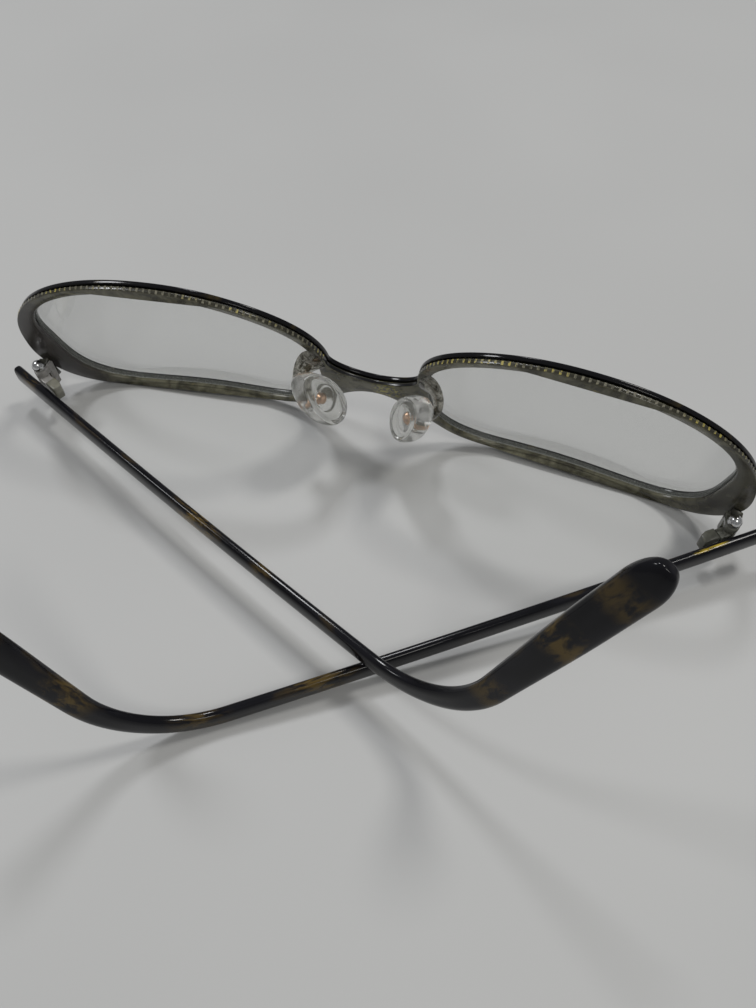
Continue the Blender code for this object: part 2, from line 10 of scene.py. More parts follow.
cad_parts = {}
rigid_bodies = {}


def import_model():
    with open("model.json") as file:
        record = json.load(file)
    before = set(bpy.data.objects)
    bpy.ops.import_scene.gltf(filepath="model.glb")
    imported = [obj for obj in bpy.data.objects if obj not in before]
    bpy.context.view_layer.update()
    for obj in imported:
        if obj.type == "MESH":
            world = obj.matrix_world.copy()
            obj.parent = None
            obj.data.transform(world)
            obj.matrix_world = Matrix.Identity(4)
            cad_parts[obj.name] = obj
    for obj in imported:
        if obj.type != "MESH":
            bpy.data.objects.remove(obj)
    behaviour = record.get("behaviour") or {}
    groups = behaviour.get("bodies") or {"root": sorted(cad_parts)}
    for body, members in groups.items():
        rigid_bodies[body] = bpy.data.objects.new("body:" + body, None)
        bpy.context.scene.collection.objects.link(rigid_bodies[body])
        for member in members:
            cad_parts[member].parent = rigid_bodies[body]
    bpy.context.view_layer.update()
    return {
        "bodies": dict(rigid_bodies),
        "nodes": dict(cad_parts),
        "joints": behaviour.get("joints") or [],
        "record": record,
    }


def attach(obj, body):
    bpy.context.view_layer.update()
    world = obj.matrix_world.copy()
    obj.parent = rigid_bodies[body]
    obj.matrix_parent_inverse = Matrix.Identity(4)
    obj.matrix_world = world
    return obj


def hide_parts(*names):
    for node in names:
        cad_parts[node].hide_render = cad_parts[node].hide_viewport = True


MM = 0.001
SIDES = {-1: "left", 1: "right"}
ORIGIN = Vector((0.0, -36.6 * MM, 0.31 * MM))

# ---------------------------------------------------------------- the maker's sizes
LENS_HALF_WIDTH = 25.0 * MM
LENS_HALF_HEIGHT = 17.0 * MM
BROW_HALF_HEIGHT = 17.65 * MM
LENS_CENTRE_U = 34.7 * MM
LENS_CENTRE_V = 20.6 * MM
BROW_SQUARENESS = 3.6
LOWER_SQUARENESS = 2.35
RIM_WIDTH = 1.8 * MM
END_PIECE_EXTRA = 3.3 * MM
END_PIECE_ANGLE = math.radians(-15)
END_PIECE_SPREAD = math.radians(25)
LAYER_DEPTH = 0.80 * MM
GLUE_GAP = 0.3 * MM
EDGE_ROUND = 0.20 * MM
BRIDGE_TOP_V = 18.1 * MM
BRIDGE_FOOT_V = 14.1 * MM
BRIDGE_TOP_PULL = 3.6 * MM       # how far the bridge's edges run straight from its middle
BRIDGE_FOOT_PULL = 4.6 * MM
NASAL_TOP_PULL = (0.1 * MM, -2.6 * MM)    # where its top edge leaves the nasal rim
NASAL_FOOT_PULL = 5.0 * MM
RIM_FIRST = math.radians(176)    # the part of the lens outline that the rim follows
RIM_LAST = math.radians(-147)
BASE_CURVE = 130.0 * MM
FLAT_HALF = 22.6 * MM
BRIDGE_ADVANCE = 0.56 * MM
FRONT_TILT = math.radians(20.2)
BEHIND_OLIVE = -(LAYER_DEPTH + GLUE_GAP / 2) - 0.05 * MM    # where a moulded part meets the olive layer
LENS_THICKNESS = 0.9 * MM
LENS_SHOULDER = 0.25 * MM
LENS_BEVEL = 0.12 * MM
PIN = (63.3 * MM, -14.0 * MM, 7.3 * MM)
PIN_RADIUS = 0.55 * MM
BORE_RADIUS = 0.60 * MM
KNUCKLE_RADIUS = 1.15 * MM
MIDDLE_RADIUS = 1.12 * MM
STACK_HALF = 2.5 * MM
MIDDLE_HALF = 1.05 * MM
AXIAL_GAP = 0.05 * MM
BEAD_RADIUS = 1.15 * MM
BEAD_LIFT = 0.8 * MM             # of the bead's middle over its rest
BEAD_CLOSE = math.radians(130)
PIN_PROUD = 0.25 * MM
FRONT_TAIL = (-0.5 * MM, -1.12 * MM)    # inner and outer edge of a knuckle's tail, outwards
FRONT_REACH = 2.5 * MM
WEB_START = 1.35 * MM
TEMPLE_TAIL = (-0.8 * MM, 1.09 * MM)
TEMPLE_REACH = -2.3 * MM
STEM_SIDES = (-0.25 * MM, 1.5 * MM)
STEM_END = (1.6 * MM, -2.1 * MM, 2.1 * MM)    # y, and lower and upper z
STEM_ROOT = (4.0 * MM, -2.6 * MM, 3.4 * MM)
BLOCK_SIDES = (-0.9 * MM, 1.12 * MM)
BLOCK_ENDS = (-2.6 * MM, -5.3 * MM)
BLOCK_HALF = 1.45 * MM
BLOCK_TAPER = (1.2 * MM, 0.5 * MM)      # length and depth of its slanted end
FOLD = {-1: math.radians(64.7), 1: math.radians(56.0)}
RISE = {-1: math.radians(1.35), 1: math.radians(-3.40)}
TEMPLE_OFFSET = 2.3 * MM
FRONT_OVERLAP = 4.9 * MM
STRAIGHT = 85.3 * MM
DROP_RADIUS = 18.8 * MM
DROP_ANGLE = math.radians(71.5)
TIP_LENGTH = 33.0 * MM
TIP_TOE_IN = math.radians(15)
BOW = 0.03
TEMPLE_THICKNESS = 1.75 * MM
TEMPLE_HEIGHT = 3.8 * MM
PADDLE_THICKNESS = 2.3 * MM
PADDLE_HEIGHT = 5.0 * MM
PADDLE_GROWTH = (38.0 * MM, 11.0 * MM)    # from the tip, where it starts and stops widening
TIP_RADIUS = 4.5 * MM
TEMPLE_END = STRAIGHT + DROP_ANGLE * DROP_RADIUS + TIP_LENGTH    # from the pin
TEMPLE_EASE = 0.4 * MM           # of the edge round its front end
TEMPLE_SQUARENESS = 3.2
PAD_CENTRE = (8.2 * MM, -6.1 * MM, 19.3 * MM)
PAD_FRONTAL = math.radians(25)
PAD_TURN = {-1: math.radians(3), 1: math.radians(24)}
PAD_HALF_LENGTH = 7.0 * MM
PAD_HALF_WIDTH = 3.8 * MM
PAD_THICKNESS = 3.0 * MM
PAD_BACK = -0.45 * PAD_THICKNESS
PAD_FACE = 0.55 * PAD_THICKNESS
PAD_FULLNESS = 0.14              # how much wider the pad is at its end nearer the brow
PAD_DISC = 2.15 * MM
BALL_RADIUS = 0.95 * MM
STUD_NECK = 0.5 * MM
BOSS_STANDOFF = 2.5 * MM
BOSS_ROOT = (9.6 * MM, 23.4 * MM)
BOSS_HALF = (3.2 * MM, 1.1 * MM)
BOSS_END_HALF = (1.25 * MM, 0.8 * MM)
BOSS_LEAN = math.radians(76)
BOSS_SWING = (2.9 * MM, 1.0 * MM, 3.4 * MM)
BOSS_TURN = 0.9
TICK_PITCH = 1.05 * MM
TICK_SIZE = (0.36 * MM, 0.62 * MM, 0.10 * MM)    # along the rim, across it and out of it
TICK_FIRST = math.radians(6)
TICK_ARC = math.radians(166)
TICK_SINK = 0.02 * MM

GOLD_SPOT = (60.5, 23.0, 3.5)    # in mm
BRIDGE_SPOT = (2.5, 29.8, 14.6)

CAMERA_YAW = -0.2769
CAMERA_PITCH = 0.9756
CAMERA_PLACE = Vector((25.716 * MM, -94.146 * MM, 114.29 * MM))
CAMERA_LENS = 27.15              # in mm, for a 36 mm high sensor

TABLE_HALF = 1.6
TABLE_DROP = 0.02 * MM           # keeps the table's face clear of the rims

FRONT = Matrix.Translation(-ORIGIN) @ Matrix.Rotation(FRONT_TILT, 4, "X")


# ---------------------------------------------------------------- shader arithmetic
class Field:
    """A socket's value that can be used in arithmetic."""

    def __init__(self, finish, socket):
        self.finish = finish
        self.socket = socket

    def _math(self, operation, *terms):
        return self.finish.node("Math", {"operation": operation}, dict(enumerate(terms)))

    def __add__(self, other):
        return self._math("ADD", self, other)

    def __radd__(self, other):
        return self._math("ADD", other, self)

    def __sub__(self, other):
        return self._math("SUBTRACT", self, other)

    def __rsub__(self, other):
        return self._math("SUBTRACT", other, self)

    def __mul__(self, other):
        return self._math("MULTIPLY", self, other)

    def __rmul__(self, other):
        return self._math("MULTIPLY", other, self)

    def between(self, low, high):
        """0 at low and 1 at high, with a soft start and end."""
        return self.finish.node("MapRange", {"interpolation_type": "SMOOTHSTEP"},
                                {"Value": self, "From Min": low, "From Max": high})


class Finish:
    """A material whose nodes are made by one method."""

    def __init__(self, name, **constants):
        self.material = bpy.data.materials.new(name)
        self.material.use_nodes = True
        self.tree = self.material.node_tree
        self.shader = self.tree.nodes["Principled BSDF"]
        for socket, value in constants.items():
            self.set(socket.replace("_", " "), value)

    def node(self, kind, settings=None, sockets=None, out=0):
        made = self.tree.nodes.new("ShaderNode" + kind)
        for key, value in (settings or {}).items():
            setattr(made, key, value)
        for key, value in (sockets or {}).items():
            self.feed(made.inputs[key], value)
        return Field(self, made.outputs[out])

    def feed(self, socket, value):
        if isinstance(value, Field):
            self.tree.links.new(value.socket, socket)
        elif hasattr(value, "__len__") and len(value) == 3 and socket.type == "RGBA":
            socket.default_value = (*value, 1.0)
        else:
            socket.default_value = value

    def set(self, socket, value):
        self.feed(self.shader.inputs[socket], value)

    def place(self, stretch=(1.0, 1.0, 1.0)):
        """Object coordinates in millimetres."""
        spot = self.node("TexCoord", out=3)
        scale = tuple(1000.0 * s for s in stretch)
        return self.node("Mapping", {}, {"Vector": spot, "Scale": scale})

    def lane(self, name):
        return self.node("Attribute", {"attribute_name": name}, out=2)

    def noise(self, where, scale, detail=2.0, roughness=0.5, distortion=0.0):
        return self.node("TexNoise", {}, {"Vector": where, "Scale": scale, "Detail": detail,
                                          "Roughness": roughness, "Distortion": distortion})

    def blend(self, share, first, second):
        made = self.tree.nodes.new("ShaderNodeMix")
        made.data_type = "RGBA"
        self.feed(made.inputs[0], share)
        self.feed(made.inputs[6], first)
        self.feed(made.inputs[7], second)
        return Field(self, made.outputs[2])

    def bump(self, height, strength, distance):
        return self.node("Bump", {}, {"Height": height, "Strength": strength, "Distance": distance})


# ---------------------------------------------------------------- finishes
def tortoise_sheet():
    """Polished near-black tortoise acetate for the front."""
    f = Finish("tortoise_sheet", IOR=1.36)
    where = f.place()
    cloud = f.noise(where, 0.16, 4.0, 0.55, 0.8)
    amber = cloud.between(0.60, 0.74)
    fleck = f.noise(where, 0.9, 3.0).between(0.62, 0.75)
    base = f.blend(amber * 0.55, (0.0035, 0.0033, 0.0045), (0.060, 0.044, 0.012))
    f.set("Base Color", f.blend(fleck * 0.2, base, (0.020, 0.017, 0.014)))
    f.set("Roughness", 0.075 + 0.07 * f.noise(where, 0.5))
    f.set("Normal", f.bump(f.noise(where, 2.2, 2.0), 0.05, 0.00005))
    return f.material


def olive_sheet(name, dark, light, clear, ends=None):
    """Translucent olive acetate with fine gold streaks along the sheet.  With a colour for its ends it is
    the laminate: smoky towards both ends, golden low on the right one and darker on the outer wall."""
    f = Finish(name, IOR=1.49, Transmission_Weight=clear)
    where = f.place()
    streak_place = f.place((0.25, 1.3, 1.3))
    cloud = f.noise(where, 0.35, 3.0, 0.6, 0.4)
    streak = f.noise(streak_place, 1.6, 4.0, 0.62, 0.6).between(0.60, 0.72)
    base = f.blend(cloud.between(0.35, 0.65), dark, light)
    base = f.blend(streak * 0.55, base, (0.36, 0.31, 0.13))
    if ends:
        u = f.node("SeparateXYZ", {}, {"Vector": where})
        smoky = (0.0 - u).between(50.0, 60.0) * 0.9 + u.between(52.0, 62.0) * 0.55
        base = f.blend(smoky, base, f.blend(cloud, ends, (0.030, 0.024, 0.020)))
        gap = f.node("VectorMath", {"operation": "DISTANCE"}, {0: where, 1: GOLD_SPOT}, out=1)
        base = f.blend((1.0 - gap.between(1.2, 4.0)) * 0.7, base, (0.30, 0.28, 0.075))
        gap = f.node("VectorMath", {"operation": "DISTANCE"}, {0: where, 1: BRIDGE_SPOT}, out=1)
        sparkle = f.noise(where, 1.7, 3.0).between(0.46, 0.60)
        base = f.blend((1.0 - gap.between(1.0, 3.8)) * sparkle, base, (0.52, 0.47, 0.11))
        base = f.blend(f.lane("wall") * 0.78, base, (0.018, 0.016, 0.009))
        bridge = 1.0 - f.node("Math", {"operation": "ABSOLUTE"}, {0: u}).between(8.0, 13.0)
        base = f.blend(f.lane("wall") * bridge, base, (0.004, 0.004, 0.005))
    f.set("Base Color", base)
    f.set("Roughness", 0.14 + 0.12 * f.noise(where, 1.1))
    f.set("Normal", f.bump(f.noise(where, 1.8, 2.0), 0.08, 0.00006))
    return f.material


def temple_sheet(name, windows, edge_streak=None):
    """Near-black tortoise for a temple.  Amber shows in windows, given as (from, to, strength) along it in
    mm, and as a thin bright streak along its top edge between the two distances of edge_streak."""
    f = Finish(name, IOR=1.32)
    along = f.lane("along")
    above = f.lane("above")
    lanes = f.node("CombineXYZ", {}, {"X": along * 0.11, "Y": f.lane("across") * 0.55, "Z": above * 0.55})
    cloud = f.noise(lanes, 1.0, 2.0, 0.5, 0.3)
    streak = f.noise(lanes, 2.6, 3.0, 0.6, 0.4)
    amber = cloud.between(0.62, 0.78) * 0.16
    for start, stop, strength in windows:
        soft = 0.4 * (stop - start)
        window = along.between(start, start + soft) * (1.0 - along.between(stop - soft, stop))
        amber = amber + window * streak.between(0.40, 0.62) * strength
    dark = f.blend(cloud.between(0.3, 0.7), (0.0036, 0.0036, 0.0052), (0.0095, 0.0095, 0.0125))
    base = f.blend(amber, dark, (0.20, 0.130, 0.030))
    if edge_streak:
        start, stop = edge_streak
        window = along.between(start, start + 2.0) * (1.0 - along.between(stop - 2.0, stop))
        line = window * above.between(0.93, 0.99) * streak.between(0.30, 0.50)
        base = f.blend(line, base, (0.50, 0.36, 0.045))
    f.set("Base Color", base)
    f.set("Roughness", 0.085 + 0.08 * streak)
    f.set("Normal", f.bump(f.noise(f.place(), 1.4, 2.0), 0.06, 0.00006))
    return f.material


def lens_finish():
    """A thin clear lens: what is behind it shows through, with a reflection that grows at a slant."""
    f = Finish("lens_clear")
    tree = f.tree
    tree.nodes.remove(f.shader)
    where = f.place()
    through = tree.nodes.new("ShaderNodeBsdfTransparent")
    through.inputs["Color"].default_value = (0.988, 0.991, 0.988, 1.0)
    gloss = tree.nodes.new("ShaderNodeBsdfGlossy")
    gloss.inputs["Roughness"].default_value = 0.03
    f.feed(gloss.inputs["Normal"], f.bump(f.noise(where, 0.05, 1.0), 0.03, 0.0002))
    share = f.node("LayerWeight", {}, {"Blend": 0.12}) * 0.30 + 0.008
    mix = tree.nodes.new("ShaderNodeMixShader")
    f.feed(mix.inputs[0], share)
    tree.links.new(through.outputs[0], mix.inputs[1])
    tree.links.new(gloss.outputs[0], mix.inputs[2])
    tree.links.new(mix.outputs[0], tree.nodes["Material Output"].inputs["Surface"])
    return f.material


def lens_edge_finish():
    """The ground bevel of a lens: half see-through, with a fine matt grain."""
    f = Finish("lens_bevel", IOR=1.5)
    tree = f.tree
    grain = f.noise(f.place(), 6.0, 3.0)
    f.set("Base Color", f.blend(grain, (0.22, 0.23, 0.21), (0.46, 0.47, 0.44)))
    f.set("Roughness", 0.25 + 0.2 * grain)
    through = tree.nodes.new("ShaderNodeBsdfTransparent")
    mix = tree.nodes.new("ShaderNodeMixShader")
    f.feed(mix.inputs[0], 0.30 + 0.25 * grain)
    tree.links.new(through.outputs[0], mix.inputs[1])
    tree.links.new(f.shader.outputs[0], mix.inputs[2])
    tree.links.new(mix.outputs[0], tree.nodes["Material Output"].inputs["Surface"])
    return f.material


def gilt_finish():
    """The milled marks seen in the olive layer."""
    f = Finish("milled_gilt", IOR=1.49)
    where = f.place()
    grain = f.noise(where, 2.4, 3.0)
    patch = f.noise(where, 0.11, 2.0)
    gold = patch.between(0.50, 0.58) * grain.between(0.42, 0.60)
    base = f.blend(grain.between(0.35, 0.65), (0.070, 0.066, 0.044), (0.24, 0.225, 0.165))
    f.set("Base Color", f.blend(gold, base, (0.44, 0.37, 0.085)))
    f.set("Roughness", 0.26 + 0.15 * grain)
    return f.material


def clear_moulding(name, dark, light, clear, mottle=0.9):
    """A clear moulded part with olive clouding in it."""
    f = Finish(name, IOR=1.49, Transmission_Weight=clear)
    where = f.place()
    cloud = f.noise(where, mottle, 4.0, 0.6, 1.2)
    f.set("Base Color", f.blend(cloud.between(0.38, 0.62), dark, light))
    f.set("Roughness", 0.05 + 0.10 * cloud)
    f.set("Normal", f.bump(cloud, 0.15, 0.0001))
    return f.material


def silicone_finish():
    f = Finish("pad_silicone", IOR=1.41, Transmission_Weight=0.92)
    where = f.place()
    haze = f.noise(where, 0.7, 3.0, 0.55)
    grain = f.noise(where, 7.0, 2.0)
    f.set("Base Color", f.blend(haze.between(0.35, 0.7), (0.86, 0.86, 0.82), (0.95, 0.95, 0.93)))
    f.set("Roughness", 0.07 + 0.12 * haze)
    f.set("Normal", f.bump(haze + grain * 0.15, 0.12, 0.00015))
    return f.material


def metal_finish(name, colour, rough):
    f = Finish(name, Metallic=1.0)
    where = f.place()
    grain = f.noise(where, 4.0, 3.0)
    darker = tuple(0.72 * c for c in colour)
    f.set("Base Color", f.blend(grain.between(0.35, 0.65), colour, darker))
    f.set("Roughness", rough + 0.1 * grain)
    f.set("Normal", f.bump(f.noise(where, 9.0, 2.0), 0.08, 0.00004))
    return f.material


def table_finish():
    f = Finish("pale_table")
    where = f.place()
    cloud = f.noise(where, 0.005, 3.0)
    speck = f.noise(where, 0.9, 2.0)
    f.set("Base Color", f.blend(cloud.between(0.3, 0.7), (0.520, 0.522, 0.518), (0.565, 0.567, 0.562)))
    f.set("Roughness", 0.42 + 0.1 * cloud)
    f.set("Normal", f.bump(speck, 0.03, 0.0001))
    return f.material


# ---------------------------------------------------------------- mesh helpers
def piece(name, mesh, finish, body, replaces=(), sharp=35.0):
    mesh.materials.clear()
    finishes = finish if isinstance(finish, (list, tuple)) else [finish]
    for each in finishes:
        mesh.materials.append(each)
    mesh.shade_smooth()
    mesh.set_sharp_from_angle(angle=math.radians(sharp))
    made = bpy.data.objects.new(name, mesh)
    bpy.context.scene.collection.objects.link(made)
    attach(made, body)
    if replaces:
        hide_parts(*replaces)
    return made


def loft(rings, lanes=None):
    """A closed tube through rings of equal count.  lanes gives each ring's distance along it, kept as an
    attribute beside two that tell the places round the ring."""
    shape = bmesh.new()
    rows = [[shape.verts.new(spot) for spot in ring] for ring in rings]
    count = len(rows[0])
    for low, high in zip(rows, rows[1:]):
        for i in range(count):
            j = (i + 1) % count
            shape.faces.new((low[i], low[j], high[j], high[i]))
    shape.faces.new(list(reversed(rows[0])))
    shape.faces.new(rows[-1])
    bmesh.ops.recalc_face_normals(shape, faces=shape.faces)
    mesh = bpy.data.meshes.new("loft")
    shape.to_mesh(mesh)
    shape.free()
    if lanes:
        along = mesh.attributes.new("along", "FLOAT", "POINT")
        across = mesh.attributes.new("across", "FLOAT", "POINT")
        above = mesh.attributes.new("above", "FLOAT", "POINT")
        for i in range(len(mesh.vertices)):
            along.data[i].value = lanes[i // count]
            angle = math.tau * (i % count + 0.5) / count
            across.data[i].value = math.cos(angle)
            above.data[i].value = math.sin(angle)
    return mesh


def fan_ends(mesh):
    """Replaces big end faces by triangle fans, so that the ends shade evenly."""
    shape = bmesh.new()
    shape.from_mesh(mesh)
    big = [face for face in shape.faces if len(face.verts) > 4]
    bmesh.ops.poke(shape, faces=big)
    shape.to_mesh(mesh)
    shape.free()
    return mesh


def sheet_mesh(outlines, depth, edge, segments=3):
    """A flat sheet with holes and rounded edges, evenly about z = 0."""
    curve = bpy.data.curves.new("outline", "CURVE")
    curve.dimensions = "2D"
    curve.fill_mode = "BOTH"
    curve.extrude = depth / 2 - edge
    curve.bevel_depth = edge
    curve.bevel_resolution = segments
    curve.offset = -edge
    for points in outlines:
        spline = curve.splines.new("POLY")
        spline.points.add(len(points) - 1)
        for point, (x, y) in zip(spline.points, points):
            point.co = (x, y, 0.0, 1.0)
        spline.use_cyclic_u = True
    guide = bpy.data.objects.new("outline", curve)
    bpy.context.scene.collection.objects.link(guide)
    bpy.context.view_layer.update()
    graph = bpy.context.evaluated_depsgraph_get()
    mesh = bpy.data.meshes.new_from_object(guide.evaluated_get(graph))
    bpy.data.objects.remove(guide, do_unlink=True)
    bpy.data.curves.remove(curve)
    shape = bmesh.new()
    shape.from_mesh(mesh)
    bmesh.ops.remove_doubles(shape, verts=shape.verts, dist=1e-6)
    bmesh.ops.recalc_face_normals(shape, faces=shape.faces)
    shape.to_mesh(mesh)
    shape.free()
    return mesh


def rounded(mesh, width, segments=3):
    """Rounds every sharp edge of a solid."""
    shape = bmesh.new()
    shape.from_mesh(mesh)
    sharp = [edge for edge in shape.edges
             if len(edge.link_faces) == 2 and edge.calc_face_angle() > math.radians(30)]
    bmesh.ops.bevel(shape, geom=sharp, offset=width, segments=segments, profile=0.5, affect="EDGES",
                    clamp_overlap=True)
    shape.to_mesh(mesh)
    shape.free()
    return mesh


def turned_mesh(profile, steps, frame):
    """A solid of revolution about the frame's z, from (radius, height) pairs that start and end on it."""
    shape = bmesh.new()
    rows = []
    for radius, height in profile:
        if radius == 0.0:
            rows.append([shape.verts.new((0.0, 0.0, height))])
            continue
        rows.append([shape.verts.new((radius * math.cos(math.tau * i / steps),
                                      radius * math.sin(math.tau * i / steps), height))
                     for i in range(steps)])
    for low, high in zip(rows, rows[1:]):
        for i in range(steps):
            j = (i + 1) % steps
            corners = [low[i % len(low)], low[j % len(low)], high[j % len(high)], high[i % len(high)]]
            shape.faces.new(list(dict.fromkeys(corners)))
    bmesh.ops.recalc_face_normals(shape, faces=shape.faces)
    mesh = bpy.data.meshes.new("turned")
    shape.to_mesh(mesh)
    shape.free()
    mesh.transform(frame)
    return mesh


def circle(radius, count, start=0.0):
    step = math.tau / count
    return [(radius * math.cos(start + i * step), radius * math.sin(start + i * step))
            for i in range(count)]


def cubic(start, start_pull, end_pull, end, count):
    points = []
    for i in range(count):
        t = i / (count - 1)
        a, b, c, d = (1 - t) ** 3, 3 * t * (1 - t) ** 2, 3 * t * t * (1 - t), t ** 3
        points.append(tuple(a * p + b * q + c * r + d * s
                            for p, q, r, s in zip(start, start_pull, end_pull, end)))
    return points


def smooth_step(x, low, high):
    t = min(max((x - low) / (high - low), 0.0), 1.0)
    return t * t * (3 - 2 * t)


# ---------------------------------------------------------------- the front
def front_point(u, v, n):
    """A place on the dished front, in the front's own frame."""
    wrap = max(abs(u) - FLAT_HALF, 0.0)
    dish = (wrap * wrap + (v - LENS_CENTRE_V) ** 2) / (2 * BASE_CURVE)
    return Vector((u, n + BRIDGE_ADVANCE - dish, v))


def lens_edge(angle, grow=0.0):
    def bare(a):
        power = LOWER_SQUARENESS if math.sin(a) > 0 else BROW_SQUARENESS
        high = LENS_HALF_HEIGHT if math.sin(a) > 0 else BROW_HALF_HEIGHT
        reach = (abs(math.cos(a) / LENS_HALF_WIDTH) ** power
                 + abs(math.sin(a) / high) ** power) ** (-1 / power)
        return Vector((LENS_CENTRE_U + reach * math.cos(a), LENS_CENTRE_V + reach * math.sin(a)))
    along = bare(angle + 0.02) - bare(angle - 0.02)
    outward = Vector((along.y, -along.x)).normalized()
    return tuple(bare(angle) + grow * outward)


def rim_width(angle):
    bump = math.exp(-((angle - END_PIECE_ANGLE) / END_PIECE_SPREAD) ** 2)
    slim = (BROW_HALF_HEIGHT - LENS_HALF_HEIGHT) * max(-math.sin(angle), 0.0)
    return RIM_WIDTH - slim + END_PIECE_EXTRA * bump


def front_outline(steps=200, turn_points=26):
    rim = []
    for i in range(steps + 1):
        angle = RIM_FIRST + (RIM_LAST - RIM_FIRST) * i / steps
        rim.append(lens_edge(angle, rim_width(angle)))
    top = cubic((0.0, BRIDGE_TOP_V), (BRIDGE_TOP_PULL, BRIDGE_TOP_V),
                (rim[0][0] + NASAL_TOP_PULL[0], rim[0][1] + NASAL_TOP_PULL[1]), rim[0], turn_points)[:-1]
    ahead = (Vector(rim[-1]) - Vector(rim[-2])).normalized()
    foot = cubic(rim[-1], tuple(Vector(rim[-1]) + NASAL_FOOT_PULL * ahead),
                 (BRIDGE_FOOT_PULL, BRIDGE_FOOT_V), (0.0, BRIDGE_FOOT_V), turn_points)[1:]
    right = top + rim + foot
    left = [(-u, v) for u, v in right[-2:0:-1]]
    return list(reversed(right + left))


def lens_loop(side, count, grow=0.0):
    points = [lens_edge(-math.tau * i / count, grow) for i in range(count)]
    return points if side > 0 else [(-u, v) for u, v in reversed(points)]


def outer_wall(u, v, n):
    """1 on the outer wall of a laminate, 0 on its faces and round the lenses."""
    across = abs((abs(u) - LENS_CENTRE_U) / LENS_HALF_WIDTH)
    down = abs((v - LENS_CENTRE_V) / (LENS_HALF_HEIGHT if v > LENS_CENTRE_V else BROW_HALF_HEIGHT))
    power = LOWER_SQUARENESS if v > LENS_CENTRE_V else BROW_SQUARENESS
    if across ** power + down ** power < 1.08:
        return 0.0
    return 1.0 - smooth_step(abs(n), LAYER_DEPTH / 2 - EDGE_ROUND, LAYER_DEPTH / 2 - 0.02 * MM)


def front_layer(name, n_middle, finish):
    mesh = sheet_mesh([front_outline(), lens_loop(-1, 200), lens_loop(1, 200)], LAYER_DEPTH, EDGE_ROUND)
    wall = mesh.attributes.new("wall", "FLOAT", "POINT")
    for vertex in mesh.vertices:
        wall.data[vertex.index].value = outer_wall(*vertex.co)
    for vertex in mesh.vertices:
        vertex.co = FRONT @ front_point(vertex.co.x, vertex.co.y, n_middle - vertex.co.z)
    return piece(name + "_polished", mesh, finish, "front", [name])


def lens(side, clear, bevel):
    count = 160
    half = LENS_THICKNESS / 2

    def ring(scale, grow, n):
        spots = []
        for u, v in lens_loop(side, count, grow):
            u = side * LENS_CENTRE_U + (u - side * LENS_CENTRE_U) * scale
            v = LENS_CENTRE_V + (v - LENS_CENTRE_V) * scale
            spots.append(FRONT @ front_point(u, v, n))
        return spots

    faces = (0.02, 0.15, 0.3, 0.45, 0.6, 0.75, 0.88, 0.96)
    rings = [ring(scale, -LENS_SHOULDER, half) for scale in faces]
    rings += [ring(1.0, -LENS_SHOULDER, half), ring(1.0, LENS_BEVEL, 0.0), ring(1.0, -LENS_SHOULDER, -half)]
    rings += [ring(scale, -LENS_SHOULDER, -half) for scale in reversed(faces)]
    mesh = loft(rings)
    made = piece("lens_" + SIDES[side] + "_clear", mesh, [clear, bevel], "front",
                 ["lens_" + SIDES[side]], sharp=20.0)
    first = len(faces) * count
    for face in mesh.polygons:
        if first <= face.index < first + 2 * count:
            face.material_index = 1
    return made


def tick_tree(finish):
    """Small bars set along a path: they face the way the path's outward attribute points."""
    tree = bpy.data.node_groups.new("milled_ticks", "GeometryNodeTree")
    face = tree.interface
    face.new_socket("Path", in_out="INPUT", socket_type="NodeSocketGeometry")
    for label, value in (("Pitch", TICK_PITCH), ("Length", TICK_SIZE[0]), ("Width", TICK_SIZE[1]),
                         ("Height", TICK_SIZE[2])):
        socket = face.new_socket(label, in_out="INPUT", socket_type="NodeSocketFloat")
        socket.default_value = value
    face.new_socket("Ticks", in_out="OUTPUT", socket_type="NodeSocketGeometry")
    nodes, links = tree.nodes, tree.links
    given = nodes.new("NodeGroupInput")
    out = nodes.new("NodeGroupOutput")
    curve = nodes.new("GeometryNodeMeshToCurve")
    spaced = nodes.new("GeometryNodeResampleCurve")
    spaced.mode = "LENGTH"
    bar = nodes.new("GeometryNodeMeshCube")
    size = nodes.new("ShaderNodeCombineXYZ")
    tangent = nodes.new("GeometryNodeInputTangent")
    outward = nodes.new("GeometryNodeInputNamedAttribute")
    outward.data_type = "FLOAT_VECTOR"
    outward.inputs["Name"].default_value = "outward"
    stand = nodes.new("FunctionNodeAlignRotationToVector")
    stand.axis = "Z"
    along = nodes.new("FunctionNodeAlignRotationToVector")
    along.axis = "X"
    along.pivot_axis = "Z"
    put = nodes.new("GeometryNodeInstanceOnPoints")
    real = nodes.new("GeometryNodeRealizeInstances")
    paint = nodes.new("GeometryNodeSetMaterial")
    paint.inputs["Material"].default_value = finish
    links.new(given.outputs["Path"], curve.inputs["Mesh"])
    links.new(curve.outputs["Curve"], spaced.inputs["Curve"])
    links.new(given.outputs["Pitch"], spaced.inputs["Length"])
    for axis, label in zip("XYZ", ("Length", "Width", "Height")):
        links.new(given.outputs[label], size.inputs[axis])
    links.new(size.outputs[0], bar.inputs["Size"])
    links.new(outward.outputs[0], stand.inputs["Vector"])
    links.new(stand.outputs[0], along.inputs["Rotation"])
    links.new(tangent.outputs[0], along.inputs["Vector"])
    links.new(spaced.outputs["Curve"], put.inputs["Points"])
    links.new(bar.outputs["Mesh"], put.inputs["Instance"])
    links.new(along.outputs[0], put.inputs["Rotation"])
    links.new(put.outputs["Instances"], real.inputs["Geometry"])
    links.new(real.outputs["Geometry"], paint.inputs["Geometry"])
    links.new(paint.outputs["Geometry"], out.inputs["Ticks"])
    return tree


